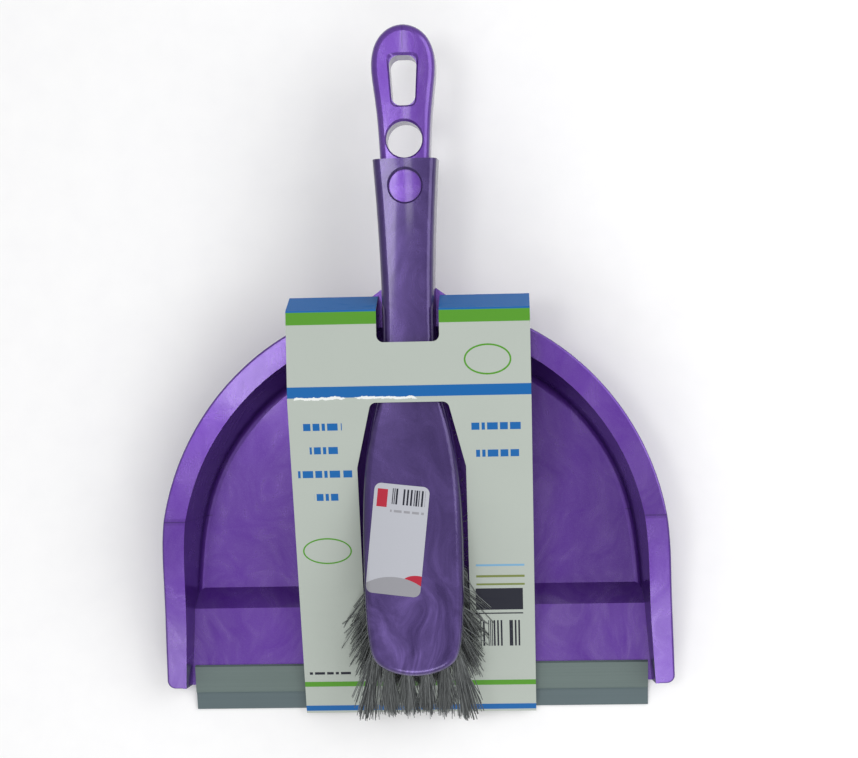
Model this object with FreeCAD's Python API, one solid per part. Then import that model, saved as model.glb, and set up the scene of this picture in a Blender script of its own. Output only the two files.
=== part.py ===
"""Dustpan with a hand brush that nests on its handle, in millimetres.

+X is across the pan, +Y runs from the lip towards the handles and +Z is up. The origin lies on the
floor, under the centre of the pan's round back. The pan rests on the flat underside of its basin.
"""
import FreeCAD
import Part
import math
import os
from FreeCAD import Vector

# ---- dustpan: plan ----
PAN_HALF_WIDTH = 150.0       # outer edge of the rim
PAN_BACK_Y = 154.4           # outer edge of the rim at the middle of the back
FLANGE_SIDE = 12.7           # width of the rim flange along the sides
FLANGE_BACK = 15.0           # and at the middle of the back
LEAN_SIDE = 5.5              # how far the wall leans in from the rim to the floor, at the sides
LEAN_BACK = 12.0             # and at the back
PAN_FRONT_Y = -78.0          # front edge of the moulding, inside the lip strip
RIM_SPREAD = 3.4             # the straight sides open out by this much at the front: outer edge,
WALL_SPREAD = 8.0            # and wall
RIM_CORNER_RADIUS = 5.0
ARCH_ANGLES = (8, 22, 36, 50, 64, 78)  # where the outline of the round back is taken
# ---- dustpan: heights and walls ----
RIM_HEIGHT = 48.0
RIM_BREAK_Y = 26.0           # the rim is level behind this line and falls in front of it
RIM_BREAK_RADIUS = 14.0
CHEEK_FRONT_HEIGHT = 17.0
PAN_WALL = 2.2
FLANGE_THICKNESS = 2.2
SKIRT_DEPTH = 7.0
SKIRT_THICKNESS = 1.8
FLOOR_THICKNESS = 2.5
FLOOR_FILLET = 4.0
RIM_EDGE_RADIUS = 1.2
# ---- dustpan: ramp and its ribs ----
RAMP_FOOT_Y = -18.5          # where the basin floor meets the back of the ramp
RAMP_CREST_Y = -30.0
RAMP_CREST_HEIGHT = 12.5
RAMP_FRONT_HEIGHT = 4.0
RAMP_WALL = 2.0
RAMP_RIB_COUNT = 5
RAMP_RIB_THICKNESS = 1.6
RAMP_RIB_FOOT = 0.8          # clearance of a rib above the floor
# ---- lip strip ----
STRIP_TOP_JAW = 12.5         # how far the strip reaches back over the ramp
STRIP_LOWER_JAW = 8.0
STRIP_TOP_THICKNESS = 1.5
STRIP_LOWER_THICKNESS = 1.1
STRIP_NOSE = 4.0             # solid nose in front of the pan's edge
STRIP_BLADE = 15.5           # nose and blade together
STRIP_TIP_THICKNESS = 0.9
STRIP_CLEARANCE = 0.03
STRIP_END_GAP = 0.6
# ---- nested handles ----
HANDLE_SLOPE = 0.02          # rise of both handles per millimetre towards their ends
CROWN_RADIUS = 150.0
NEST_GAP = 0.4               # between the top of the pan's handle and the roof of the brush's
NESTED = [(246.0, 15.7, 2.4), (205.0, 13.9, 1.5), (170.0, 13.2, 0.7)]  # y, half width of grip, gap beside it
# ---- dustpan handle ----
GRIP_ROOT_Y = 142.0
GRIP_END_Y = 312.6
GRIP_WALL = 2.2
SLEEVE_WALL = 3.4            # round the handle's two openings
GRIP_DRAFT = 1.3
GRIP_SHOULDER = 4.0
GRIP_NOSE_RUN = 12.0         # the root slopes up from the flange over this length
GRIP_HEAD = [(258.0, 16.4), (276.0, 18.4), (292.0, 19.2)]
GRIP_ROUND = [(304.0, 15.3), (310.3, 8.6)]
GUSSET_WIDTH = 11.5
GUSSET_LENGTH = 9.0
HANG_HOLE_Y = 245.6
HANG_HOLE_RADIUS = 10.4
SLOT_TOP_Y = 293.6
SLOT_BOTTOM_Y = 265.0
SLOT_TOP_HALF = 8.2
SLOT_BOTTOM_HALF = 6.6
SLOT_CORNER_RADIUS = 5.5
HOLE_BEVEL = 1.2
# ---- brush shell ----
BRUSH_END_Y = 234.5
BRUSH_TIP_Y = -65.0
BLOCK_ABOVE_RIM = 3.5        # underside of the block above the pan's rim
BLOCK_HEIGHT = 15.5          # at the neck
SHELL_WALL = 2.3
SHELL_DRAFT = 1.6
SHELL_SHOULDER = 5.0
HANDLE_FRONT_Y = 98.0        # front end of the handle's lower edge
HANDLE_ABOVE_RIM = 1.2       # lower edge of the handle above the rim
CHANNEL_FRONT_Y = 114.0      # front end of the handle's hollow
BLOCK_SIDES = [(132.0, 15.9), (112.0, 17.2), (96.0, 20.4), (72.0, 25.6), (44.0, 28.7), (10.0, 29.6), (-22.0, 29.2),
               (-44.0, 27.6)]
BLOCK_ROUND = [(-56.5, 23.6), (-62.8, 13.5)]
BRUSH_HOLE_Y = 218.9
BRUSH_HOLE_RADIUS = 9.4
# ---- tufts ----
TUFT_ROWS = 13
TUFT_FRONT_Y = -56.0
TUFT_ROW_PITCH = 11.4
TUFT_COLUMN_PITCH = 11.0
TUFT_EDGE = 5.4              # least distance from a hole's centre to the edge of the block
TUFT_HOLE_RADIUS = 2.2
TUFT_HOLE_DEPTH = 8.5
TUFT_CLEARANCE = 0.08
TUFT_SPREAD = 2.8            # how much thicker a tuft is at its tips than at its root
TUFT_LENGTH = 36.0           # free length below the block
SIDE_SPLAY = 8.0             # degrees, at the edge of the block
SPLAYED_ROWS = [(60.0, 30.0), (48.0, 38.0), (10.0, 9.0)]  # front rows: forwards, and sideways at the edge
TUFT_CORNERS = [2 * math.pi * i / 8 for i in range(8)]
ANCHOR_WIRE = 0.5
ANCHOR_HEIGHT = 1.6
# ---- card wrap and label ----
CARD_THICKNESS = 0.5
CARD_HALF_WIDTH = 70.0
CARD_FRONT_Y = -95.5
CARD_FRONT_HEIGHT = 5.4
CARD_PEAK_Y = 96.0
CARD_REAR_Y = 148.0
CARD_FLAP_Y = 156.0
CARD_ABOVE_BLOCK = 3.4
CARD_ABOVE_RIM = 1.5
CARD_WINDOW_CLEARANCE = 2.0  # beside the widest part of the block
CARD_WINDOW_FRONT_Y = -54.0
CARD_WINDOW_NECK_HALF = 22.2
CARD_WINDOW_FLARE_Y = 57.0
CARD_NOTCH_HALF = 18.0
CARD_NOTCH_Y = 129.5
CARD_CORNER_RADIUS = 4.0
LABEL_WIDTH = 32.0
LABEL_LENGTH = 64.0
LABEL_CENTRE = (-8.6, 15.5)
LABEL_TURN = -6.5
LABEL_CORNER_RADIUS = 4.0
LABEL_THICKNESS = 0.15
LABEL_GAP = 0.05

FAR = 400.0                  # longer than the object, for cutting solids
BLOCK_BOTTOM = RIM_HEIGHT + BLOCK_ABOVE_RIM
BLOCK_TOP = BLOCK_BOTTOM + BLOCK_HEIGHT


# ---- helpers ----
def slab(profile, half_width=FAR):
    """A (y, z) outline stretched across X, from -half_width to half_width."""
    points = [Vector(-half_width, y, z) for y, z in profile]
    return Part.Face(Part.makePolygon(points + points[:1])).extrude(Vector(2 * half_width, 0, 0))


def prism(outline, radius, z_low, z_high, flare=0.0):
    """An (x, y) outline as an upright solid with rounded upright edges, wider at the top by flare."""
    wires = []
    for z, grow in ((z_low, 0.0), (z_high, flare)):
        wire = Part.makePolygon([Vector(x, y, z) for x, y in outline + outline[:1]])
        wires.append(wire.makeOffset2D(grow, 2) if grow else wire)
    body = Part.makeLoft(wires, True, True)
    upright = [e for e in body.Edges if abs(e.Vertexes[0].Z - e.Vertexes[1].Z) > 0.5]
    return body.makeFillet(radius, upright)


def meet(a, b, c, d):
    """The point where the line a-b crosses the line c-d, in a plane."""
    (ax, ay), (bx, by), (cx, cy), (dx, dy) = a, b, c, d
    cross = (bx - ax) * (dy - cy) - (by - ay) * (dx - cx)
    t = ((cx - ax) * (dy - cy) - (cy - ay) * (dx - cx)) / cross
    return (ax + t * (bx - ax), ay + t * (by - ay))


def shifted(a, b, distance):
    """The line a-b moved to its right by distance, as two points."""
    length = math.hypot(b[0] - a[0], b[1] - a[1])
    nx, ny = (b[1] - a[1]) / length, -(b[0] - a[0]) / length
    return (a[0] + nx * distance, a[1] + ny * distance), (b[0] + nx * distance, b[1] + ny * distance)


def width_at(stations, y):
    """Half width at y, read off a list of (y, half width) stations that runs towards the front."""
    for (y0, w0), (y1, w1) in zip(stations, stations[1:]):
        if y >= y1:
            return w0 + (w1 - w0) * (y - y0) / (y1 - y0)
    return w1


# ---- dustpan ----
def arch_wire(half_width, back_y, spread, z, front=PAN_FRONT_Y):
    """A round back and sides that open by spread at the pan's front edge, in one smooth curve."""
    right = [Vector(half_width + spread * y / PAN_FRONT_Y, y, z) for y in (front, front * 0.6, front * 0.25)]
    turn = [math.radians(angle) for angle in ARCH_ANGLES]
    right += [Vector(half_width * math.cos(t), back_y * math.sin(t), z) for t in turn]
    left = [Vector(-point.x, point.y, z) for point in reversed(right)]
    curve = Part.BSplineCurve()
    curve.interpolate(right + [Vector(0, back_y, z)] + left)
    return Part.Wire([curve.toShape(), Part.makeLine(curve.EndPoint, curve.StartPoint)])


def rim_z(y):
    """Height of the rim's top face."""
    fall = (RIM_HEIGHT - CHEEK_FRONT_HEIGHT) / (RIM_BREAK_Y - PAN_FRONT_Y)
    return RIM_HEIGHT - max(0.0, RIM_BREAK_Y - y) * fall


def ramp_z(y):
    """Height of the ramp's top face in front of its crest."""
    fall = (RAMP_CREST_HEIGHT - RAMP_FRONT_HEIGHT) / (RAMP_CREST_Y - PAN_FRONT_Y)
    return RAMP_CREST_HEIGHT - (RAMP_CREST_Y - y) * fall


def below_rim(depth):
    """Everything from the rim's top face down to depth below it, with the break in the rim rounded."""
    top = [(-FAR, rim_z(-FAR)), (RIM_BREAK_Y, RIM_HEIGHT), (FAR, RIM_HEIGHT)]
    body = slab(top + [(y, z - depth) for y, z in reversed(top)])
    ridge = [e for e in body.Edges if all(abs(v.Y - RIM_BREAK_Y) + abs(v.Z - RIM_HEIGHT) < 0.01 for v in e.Vertexes)]
    return body.makeFillet(RIM_BREAK_RADIUS, ridge)


def wall_body(offset, front=PAN_FRONT_Y - 40):
    """The tapered body inside the pan's wall, grown outwards by offset."""
    half, back = PAN_HALF_WIDTH - FLANGE_SIDE + offset, PAN_BACK_Y - FLANGE_BACK + offset
    lower = arch_wire(half - LEAN_SIDE, back - LEAN_BACK, WALL_SPREAD, 0, front)
    upper = arch_wire(half, back, WALL_SPREAD, RIM_HEIGHT, front)
    return Part.makeLoft([lower, upper], True, True)


def floor_section():
    """The basin floor and the ramp from the side: points of the top face, then of the underside."""
    foot, crest = (RAMP_FOOT_Y, FLOOR_THICKNESS), (RAMP_CREST_Y, RAMP_CREST_HEIGHT)
    front = (-FAR, ramp_z(-FAR))
    slope_under = shifted(crest, foot, RAMP_WALL)
    ramp_under = shifted(front, crest, RAMP_WALL)
    under = [meet(*slope_under, (0, 0), (1, 0)), meet(*slope_under, *ramp_under), ramp_under[0]]
    return [foot, crest, front], under


def pan_cavity():
    """What is scooped out of the pan above its floor, with a rounded edge along the floor."""
    top, _ = floor_section()
    space = slab([(FAR, FLOOR_THICKNESS)] + top + [(-FAR, FAR), (FAR, FAR)])
    cavity = wall_body(0).common(space)
    at_floor = [e for e in cavity.Edges if all(abs(v.Z - FLOOR_THICKNESS) < 0.01 for v in e.Vertexes)
                and e.valueAt((e.FirstParameter + e.LastParameter) / 2).y > RAMP_FOOT_Y + 1]
    return cavity.makeFillet(FLOOR_FILLET, at_floor)


def under_ramp():
    """The open space below the ramp, less its stiffening ribs."""
    _, under = floor_section()
    hollow = wall_body(0).common(slab([(-FAR, -FAR), (under[0][0], -FAR)] + under))
    rib_front = PAN_FRONT_Y + STRIP_LOWER_JAW + 3 * STRIP_LOWER_THICKNESS
    for i in range(RAMP_RIB_COUNT):
        x = PAN_HALF_WIDTH * (2 * (i + 1) / (RAMP_RIB_COUNT + 1) - 1)
        hollow = hollow.cut(Part.makeBox(RAMP_RIB_THICKNESS, RAMP_FOOT_Y - rib_front, FAR,
                                         Vector(x - RAMP_RIB_THICKNESS / 2, rib_front, RAMP_RIB_FOOT)))
    return hollow


def flange():
    """The rim's flange and the short skirt round its outer edge."""
    outline = Part.Face(arch_wire(PAN_HALF_WIDTH, PAN_BACK_Y, RIM_SPREAD, 0)).extrude(Vector(0, 0, RIM_HEIGHT + 1))
    front_corners = [e for e in outline.Edges if all(abs(v.Y - PAN_FRONT_Y) < 0.01 for v in e.Vertexes)
                     and abs(e.Vertexes[0].Z - e.Vertexes[1].Z) > 1]
    outline = outline.makeFillet(RIM_CORNER_RADIUS, front_corners)
    inner = Part.Face(arch_wire(PAN_HALF_WIDTH - SKIRT_THICKNESS, PAN_BACK_Y - SKIRT_THICKNESS, RIM_SPREAD, -1,
                                PAN_FRONT_Y + SKIRT_THICKNESS)).extrude(Vector(0, 0, FAR))
    rim = outline.common(below_rim(SKIRT_DEPTH))
    outer_edges = [e for e in rim.Edges if all(abs(v.Z - rim_z(v.Y)) < 0.3 for v in e.Vertexes)
                   and (abs(e.Vertexes[0].Y - e.Vertexes[-1].Y) > 0.01 or e.Vertexes[0].Y < PAN_FRONT_Y + 0.01)]
    rim = rim.makeFillet(RIM_EDGE_RADIUS, outer_edges)
    under = slab([(y, z - FLANGE_THICKNESS) for y, z in
                  ((-FAR, rim_z(-FAR)), (RIM_BREAK_Y, RIM_HEIGHT), (FAR, RIM_HEIGHT))] + [(FAR, -FAR), (-FAR, -FAR)])
    return rim.cut(inner.common(under))


def dustpan_body():
    """The whole dustpan moulding."""
    bowl = wall_body(PAN_WALL, PAN_FRONT_Y).common(below_rim(FAR))
    pan = bowl.fuse(flange()).fuse(grip()).cut(pan_cavity()).cut(under_ramp())
    return pan.cut(grip_openings()).removeSplitter()


# ---- handle outlines ----
def u_curve(sides, tip, tip_y, inset, z):
    """A U-shaped outline in one smooth curve, round the tip, each point moved inwards by inset."""
    right = [Vector(half, y, z) for y, half in sides + tip]
    points = right + [Vector(0, tip_y, z)] + [Vector(-p.x, p.y, z) for p in reversed(right)]
    curve = Part.BSplineCurve()
    curve.interpolate(points)
    side = 1 if tip_y < sides[0][0] else -1
    moved = []
    for point in points:
        tangent = curve.tangent(curve.parameter(point))[0]
        moved.append(point + Vector(tangent.y, -tangent.x, 0) * (inset * side))
    curve.interpolate(moved)
    return curve


def u_body(sides, tip, tip_y, inset, draft, z_low, z_high):
    """An upright body on a U-shaped outline that leans in by draft from z_low to z_high."""
    wires = []
    for z, step in ((z_low, inset), (z_high, inset + draft)):
        curve = u_curve(sides, tip, tip_y, step, z)
        edge = curve.toShape()
        wires.append(Part.Wire([edge, Part.makeLine(curve.EndPoint, curve.StartPoint)]))
    return Part.makeLoft(wires, True, True)


def handle_top(y):
    """Height of the brush's top face along its middle, which rises from the tip to the handle's end."""
    return BLOCK_TOP + (y - CARD_PEAK_Y) * HANDLE_SLOPE


def rounded_top(body, drop, radius):
    """body cut off under the gently crowned top face, lowered by drop, with a rounded shoulder."""
    lean = math.hypot(1, HANDLE_SLOPE)
    start = Vector(0, -FAR, handle_top(-FAR) - drop - CROWN_RADIUS * lean)
    crown = Part.makeCylinder(CROWN_RADIUS, 2 * FAR * lean, start, Vector(0, 1, HANDLE_SLOPE))
    body = body.common(crown).Solids[0]

    def on_top(edge):
        point = edge.valueAt((edge.FirstParameter + edge.LastParameter) / 2)
        sag = CROWN_RADIUS - math.sqrt(max(0.0, CROWN_RADIUS ** 2 - point.x ** 2))
        across = abs(edge.Vertexes[0].X + edge.Vertexes[-1].X) < 0.01 and abs(point.x) < 0.01
        return abs(point.z - (handle_top(point.y) - drop - sag)) < 0.2 and not (across and point.y > 0)
    return body.makeFillet(radius, [e for e in body.Edges if on_top(e)])


# ---- dustpan handle ----
def grip_outline():
    """Stations of the pan's handle from its root to its head."""
    return [(GRIP_ROOT_Y, NESTED[-1][1])] + [(y, half) for y, half, _ in reversed(NESTED)] + GRIP_HEAD


def grip_bottom(y):
    """Height of the handle's lower edge; it starts level with the underside of the flange."""
    return RIM_HEIGHT - FLANGE_THICKNESS + (y - GRIP_ROOT_Y) * HANDLE_SLOPE


def grip_solid(inset, radius):
    """The handle's outer form, or its hollow when inset by a wall."""
    body = u_body(grip_outline(), GRIP_ROUND, GRIP_END_Y, inset, GRIP_DRAFT, 0, BLOCK_TOP + 20)
    body = rounded_top(body, SHELL_WALL + NEST_GAP + inset, radius)
    root = GRIP_ROOT_Y + inset
    foot = grip_bottom(root)
    return body.common(slab([(root, 0), (root, foot), (root + GRIP_NOSE_RUN, handle_top(root)),
                             (root + GRIP_NOSE_RUN, FAR), (FAR, FAR), (FAR, 0)]))


def slot_prism(grow, flare=0.0, z_low=0.0, z_high=FAR):
    """The hanging slot as an upright solid, grown by grow."""
    top, bottom = SLOT_TOP_Y + grow, SLOT_BOTTOM_Y - grow
    outline = [(-SLOT_TOP_HALF - grow, top), (SLOT_TOP_HALF + grow, top),
               (SLOT_BOTTOM_HALF + grow, bottom), (-SLOT_BOTTOM_HALF - grow, bottom)]
    return prism(outline, SLOT_CORNER_RADIUS + grow, z_low, z_high, flare)


def hole(y, radius, z_low=0.0, z_high=FAR):
    """An upright round hole."""
    return Part.makeCylinder(radius, z_high - z_low, Vector(0, y, z_low))


def grip():
    """The pan's handle: an open-bottomed moulding with sleeves round its openings, and two gussets."""
    outer = grip_solid(0, GRIP_SHOULDER)
    hollow = grip_solid(GRIP_WALL, GRIP_SHOULDER - GRIP_WALL)
    sleeves = slot_prism(SLEEVE_WALL).fuse(hole(HANG_HOLE_Y, HANG_HOLE_RADIUS + SLEEVE_WALL))
    under = slab([(0, 0), (0, grip_bottom(0)), (FAR, grip_bottom(FAR)), (FAR, 0)])
    handle = outer.cut(hollow.cut(sleeves)).cut(under)
    half, edge = NESTED[-1][1] - GRIP_WALL / 2, PAN_BACK_Y - FLANGE_BACK / 2
    web = [(half, edge), (half + GUSSET_WIDTH + GRIP_WALL, edge), (half + GUSSET_WIDTH + GRIP_WALL, PAN_BACK_Y - 1),
           (half, PAN_BACK_Y + GUSSET_LENGTH)]
    for side in (1, -1):
        wire = Part.makePolygon([Vector(side * x, y, RIM_HEIGHT - FLANGE_THICKNESS) for x, y in web + web[:1]])
        handle = handle.fuse(Part.Face(wire).extrude(Vector(0, 0, FLANGE_THICKNESS)))
    return handle


def grip_openings():
    """The hanging slot and the round hole, each with a bevelled mouth."""
    def mouth(y):
        return handle_top(y) - SHELL_WALL - NEST_GAP
    slot_mid = (SLOT_TOP_Y + SLOT_BOTTOM_Y) / 2
    openings = hole(HANG_HOLE_Y, HANG_HOLE_RADIUS).fuse(slot_prism(0))
    bevel = Part.makeCone(HANG_HOLE_RADIUS, HANG_HOLE_RADIUS + 2 * HOLE_BEVEL, 2 * HOLE_BEVEL,
                          Vector(0, HANG_HOLE_Y, mouth(HANG_HOLE_Y) - HOLE_BEVEL))
    low = mouth(slot_mid) - HOLE_BEVEL
    return openings.fuse(bevel).fuse(slot_prism(0, 2 * HOLE_BEVEL, low, low + 2 * HOLE_BEVEL))


# ---- lip strip ----
def rubber_lip():
    """The soft strip that grips the front edge of the ramp and ends in a thin blade on the floor."""
    lean = math.hypot(1, (RAMP_CREST_HEIGHT - RAMP_FRONT_HEIGHT) / (RAMP_CREST_Y - PAN_FRONT_Y))

    def on_ramp(ahead, above):
        y = PAN_FRONT_Y - ahead
        return (y, ramp_z(y) + above * lean)
    gap, low = STRIP_CLEARANCE, -RAMP_WALL - STRIP_CLEARANCE
    high, under = gap + STRIP_TOP_THICKNESS, low - STRIP_LOWER_THICKNESS
    tip_y = PAN_FRONT_Y - STRIP_BLADE
    profile = [on_ramp(-STRIP_TOP_JAW, gap), on_ramp(-STRIP_TOP_JAW + 1, high), on_ramp(STRIP_NOSE, high),
               on_ramp(STRIP_NOSE + 1.5, high - STRIP_TOP_THICKNESS), (tip_y, STRIP_TIP_THICKNESS), (tip_y, 0),
               on_ramp(STRIP_NOSE + 1.5, low - STRIP_LOWER_THICKNESS / 2), on_ramp(STRIP_NOSE, under),
               on_ramp(-STRIP_LOWER_JAW, under), on_ramp(-STRIP_LOWER_JAW, low), on_ramp(gap, low), on_ramp(gap, gap)]
    half = PAN_HALF_WIDTH - FLANGE_SIDE - LEAN_SIDE + WALL_SPREAD * (PAN_FRONT_Y + STRIP_TOP_JAW) / PAN_FRONT_Y
    return slab(profile, half - STRIP_END_GAP)


# ---- brush ----
def brush_sides():
    """Stations of the brush from the end of its handle to the front of its block."""
    return [(y, half + gap + SHELL_WALL) for y, half, gap in NESTED] + BLOCK_SIDES


def brush_form(inset, drop, radius):
    """The brush's outer form, or a smaller or larger copy of it."""
    body = u_body(brush_sides(), BLOCK_ROUND, BRUSH_TIP_Y, inset, SHELL_DRAFT, RIM_HEIGHT - 5, BLOCK_TOP + 10)
    return rounded_top(body, drop, radius)


def handle_edge(y):
    """Height of the lower edge of the brush's handle."""
    return RIM_HEIGHT + HANDLE_ABOVE_RIM + max(0.0, y - CHANNEL_FRONT_Y) * HANDLE_SLOPE


def brush_body():
    """Block and handle in one moulding: a solid block, and a handle that is an upturned channel."""
    solid = brush_form(0, 0, SHELL_SHOULDER)
    solid = solid.cut(slab([(-FAR, 0), (-FAR, BLOCK_BOTTOM), (HANDLE_FRONT_Y, BLOCK_BOTTOM),
                            (CHANNEL_FRONT_Y, handle_edge(0)), (FAR, handle_edge(FAR)), (FAR, 0)]))
    channel = brush_form(SHELL_WALL, SHELL_WALL, SHELL_SHOULDER - SHELL_WALL)
    channel = channel.common(slab([(CHANNEL_FRONT_Y, 0), (CHANNEL_FRONT_Y, FAR), (FAR, FAR), (FAR, 0)]))
    solid = solid.cut(channel)
    end = slab([(BRUSH_END_Y, 0), (BRUSH_END_Y, FAR), (FAR, FAR), (FAR, 0)])
    solid = solid.cut(end).cut(hole(BRUSH_HOLE_Y, BRUSH_HOLE_RADIUS))
    mouth = handle_top(BRUSH_HOLE_Y) - HOLE_BEVEL
    solid = solid.cut(Part.makeCone(BRUSH_HOLE_RADIUS, BRUSH_HOLE_RADIUS + 2 * HOLE_BEVEL, 2 * HOLE_BEVEL,
                                    Vector(0, BRUSH_HOLE_Y, mouth)))
    holes = [Part.makeCylinder(TUFT_HOLE_RADIUS, TUFT_HOLE_DEPTH + 5, Vector(x, y, BLOCK_BOTTOM - 5))
             for row in range(TUFT_ROWS) for x, y in tuft_places(row)]
    return solid.cut(Part.makeCompound(holes)).removeSplitter()


# ---- tufts ----
def tuft_places(row):
    """Centres of the holes in one row across the block, counted from the front."""
    y = TUFT_FRONT_Y + row * TUFT_ROW_PITCH
    outline = brush_sides() + BLOCK_ROUND + [(BRUSH_TIP_Y, 0)]
    reach = width_at(outline, y) - TUFT_EDGE
    count = int(2 * reach / TUFT_COLUMN_PITCH) + 1
    return [((i - (count - 1) / 2) * TUFT_COLUMN_PITCH, y) for i in range(count)]


def tuft_row(row):
    """One row of tufts, each a plug in its hole and a cone of bristles below it."""
    forwards, sideways = SPLAYED_ROWS[row] if row < len(SPLAYED_ROWS) else (0.0, SIDE_SPLAY)
    edge = max(half for _, half in BLOCK_SIDES)
    radius = TUFT_HOLE_RADIUS - TUFT_CLEARANCE
    solids = []
    for x, y in tuft_places(row):
        top = Vector(x, y, BLOCK_BOTTOM + TUFT_HOLE_DEPTH - ANCHOR_HEIGHT - 2 * TUFT_CLEARANCE)
        mouth = Vector(x, y, BLOCK_BOTTOM - TUFT_CLEARANCE)
        lean = math.tan(math.radians(sideways)) * x / edge
        down = Vector(lean, -math.tan(math.radians(forwards)), -1).normalize()
        rings = []
        for centre, ring_radius in ((top, radius), (mouth, radius), (mouth + down * TUFT_LENGTH, radius + TUFT_SPREAD)):
            corners = [centre + Vector(math.cos(t), math.sin(t), 0) * ring_radius for t in TUFT_CORNERS]
            rings.append(Part.makePolygon(corners + corners[:1]))
        solids.append(Part.makeLoft(rings, True, True))
    return Part.makeCompound(solids)


def tuft_anchors():
    """The flat wire pieces that hold the folded bristles at the bottom of their holes."""
    width = 2 * (TUFT_HOLE_RADIUS - 2 * TUFT_CLEARANCE)
    top = BLOCK_BOTTOM + TUFT_HOLE_DEPTH - TUFT_CLEARANCE
    return Part.makeCompound([
        Part.makeBox(width, ANCHOR_WIRE, ANCHOR_HEIGHT - TUFT_CLEARANCE,
                     Vector(x - width / 2, y - ANCHOR_WIRE / 2, top - ANCHOR_HEIGHT + TUFT_CLEARANCE))
        for row in range(TUFT_ROWS) for x, y in tuft_places(row)])


# ---- card wrap and label ----
def card_wrap():
    """The folded card: over the back of the rim, across the brush's neck and down to the lip."""
    line = [(CARD_FRONT_Y, CARD_FRONT_HEIGHT), (CARD_PEAK_Y, BLOCK_TOP + CARD_ABOVE_BLOCK),
            (CARD_REAR_Y, BLOCK_TOP + CARD_ABOVE_BLOCK), (CARD_FLAP_Y, RIM_HEIGHT + CARD_ABOVE_RIM)]
    upper = [shifted(b, a, CARD_THICKNESS) for a, b in zip(line, line[1:])]
    tops = [upper[0][1], meet(*upper[0], *upper[1]), meet(*upper[1], *upper[2]), upper[2][0]]
    sheet = slab(line + tops[::-1], CARD_HALF_WIDTH)
    half = max(w for _, w in BLOCK_SIDES) + CARD_WINDOW_CLEARANCE
    window = [(-half, CARD_WINDOW_FRONT_Y), (half, CARD_WINDOW_FRONT_Y), (half, CARD_WINDOW_FLARE_Y),
              (CARD_WINDOW_NECK_HALF, CARD_PEAK_Y - 1), (-CARD_WINDOW_NECK_HALF, CARD_PEAK_Y - 1),
              (-half, CARD_WINDOW_FLARE_Y)]
    notch = [(-CARD_NOTCH_HALF, CARD_NOTCH_Y), (CARD_NOTCH_HALF, CARD_NOTCH_Y), (CARD_NOTCH_HALF, FAR),
             (-CARD_NOTCH_HALF, FAR)]
    sheet = sheet.cut(prism(window, CARD_CORNER_RADIUS, 0, FAR))
    return sheet.cut(prism(notch, CARD_CORNER_RADIUS, 0, FAR))


def price_label():
    """A plain stuck-on label that follows the crowned top of the block."""
    half_w, half_l = LABEL_WIDTH / 2, LABEL_LENGTH / 2
    outline = [(-half_w, -half_l), (half_w, -half_l), (half_w, half_l), (-half_w, half_l)]
    cutter = prism(outline, LABEL_CORNER_RADIUS, BLOCK_BOTTOM + 1, FAR)
    cutter.rotate(Vector(0, 0, 0), Vector(0, 0, 1), LABEL_TURN)
    cutter.translate(Vector(LABEL_CENTRE[0], LABEL_CENTRE[1], 0))
    outer, inner = LABEL_GAP + LABEL_THICKNESS, LABEL_GAP
    skin = brush_form(-outer, -outer, SHELL_SHOULDER + outer).cut(brush_form(-inner, -inner, SHELL_SHOULDER + inner))
    return skin.common(cutter)


def main():
    """Build every node and write it to parts/."""
    os.makedirs("parts", exist_ok=True)
    nodes = {
        "dustpan_body": dustpan_body(),
        "rubber_lip": rubber_lip(),
        "brush_body": brush_body(),
        "tuft_anchors": tuft_anchors(),
        "card_wrap": card_wrap(),
        "price_label": price_label(),
    }
    for row in range(TUFT_ROWS):
        nodes["tuft_row_%02d" % (row + 1)] = tuft_row(row)
    for name, shape in nodes.items():
        shape.exportStep("parts/%s.step" % name)


main()
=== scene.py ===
"""A dustpan with its nested hand brush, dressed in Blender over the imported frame.

Every sub-assembly is a class: the pan with its lip strip, the brush with its bristles, the card wrap
with its label, and the studio. Lengths are metres in the frame's own axes, and texture scales are
repeats to a metre.
"""
import logging
import math
import random
from dataclasses import dataclass, field
from enum import Enum

import bpy
from mathutils import Matrix, Vector


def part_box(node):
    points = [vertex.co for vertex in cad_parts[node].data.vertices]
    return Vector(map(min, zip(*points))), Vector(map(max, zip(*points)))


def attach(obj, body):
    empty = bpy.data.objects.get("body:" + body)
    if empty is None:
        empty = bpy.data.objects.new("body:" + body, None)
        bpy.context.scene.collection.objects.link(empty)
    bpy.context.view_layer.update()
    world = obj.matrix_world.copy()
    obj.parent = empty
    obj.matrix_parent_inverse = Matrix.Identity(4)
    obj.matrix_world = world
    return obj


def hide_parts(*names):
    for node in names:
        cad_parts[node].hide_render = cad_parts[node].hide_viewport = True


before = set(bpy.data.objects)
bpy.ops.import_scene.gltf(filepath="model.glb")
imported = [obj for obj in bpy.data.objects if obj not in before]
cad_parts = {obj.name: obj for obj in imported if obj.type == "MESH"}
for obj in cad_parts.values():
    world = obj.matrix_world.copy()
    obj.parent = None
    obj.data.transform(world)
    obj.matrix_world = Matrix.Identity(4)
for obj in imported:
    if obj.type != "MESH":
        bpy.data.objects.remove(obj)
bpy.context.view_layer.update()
LOG = logging.getLogger("dustpan")

Pair = tuple[float, float]
Triple = tuple[float, float, float]
Colour = tuple[float, float, float]
Stops = tuple[Pair, ...]
Node = bpy.types.Node
Socket = bpy.types.NodeSocket

INPUT_MARK = "in_"  # a setting of this name and a number is an input's value
ROD_SIDES = 4
MERGE_STEPS = 1e5  # mesh points that round to the same step of a metre are one point


class Fill(Enum):
    """How a printed patch is filled."""

    SOLID = "solid"
    BARS = "bars"
    WORDS = "words"
    WORN = "worn"


class Moulding(Enum):
    """The two pearl plastic mouldings, by how the pearl pigment flowed in them."""

    PAN = "pan"
    BRUSH = "brush"


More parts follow.
